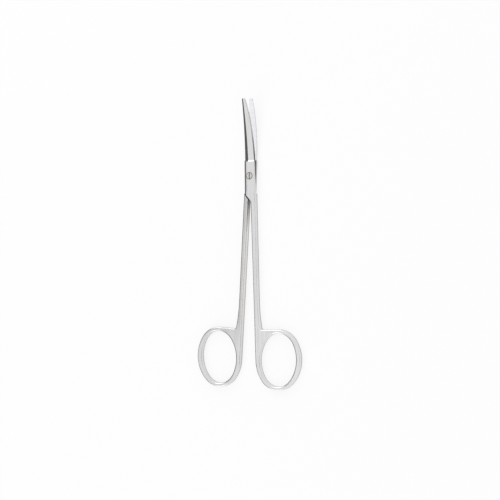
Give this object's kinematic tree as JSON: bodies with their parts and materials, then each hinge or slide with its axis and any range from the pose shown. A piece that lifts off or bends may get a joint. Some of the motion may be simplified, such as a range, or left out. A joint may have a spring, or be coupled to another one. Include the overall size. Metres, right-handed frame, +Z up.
{
  "type": "dissecting scissors",
  "caption": "Curved dissecting scissors with blunt tips, a slotted pivot screw in a lap joint, slim shanks and oval finger rings.",
  "frame": {"origin": "on the pivot axis, at the flat underside that the scissors lie on", "axes": "+Y to the tips, +Z up along the pivot axis towards the screw head"},
  "size_m": [0.0574, 0.1426, 0.0071],
  "materials": {
    "front_lever": "satin ground",
    "rear_lever": "satin ground",
    "pivot_screw": "turned and polished"
  },
  "bodies": {
    "rear": {"rear_lever": "rear_lever", "pivot_screw": "pivot_screw"},
    "front": {"front_lever": "front_lever"}
  },
  "joints": [
    {"name": "pivot", "type": "hinge", "parent": "rear", "child": "front", "pos_m": [0, 0, 0], "axis": [0, 0, 1], "range_deg": [-4.6, 85.4]}
  ]
}
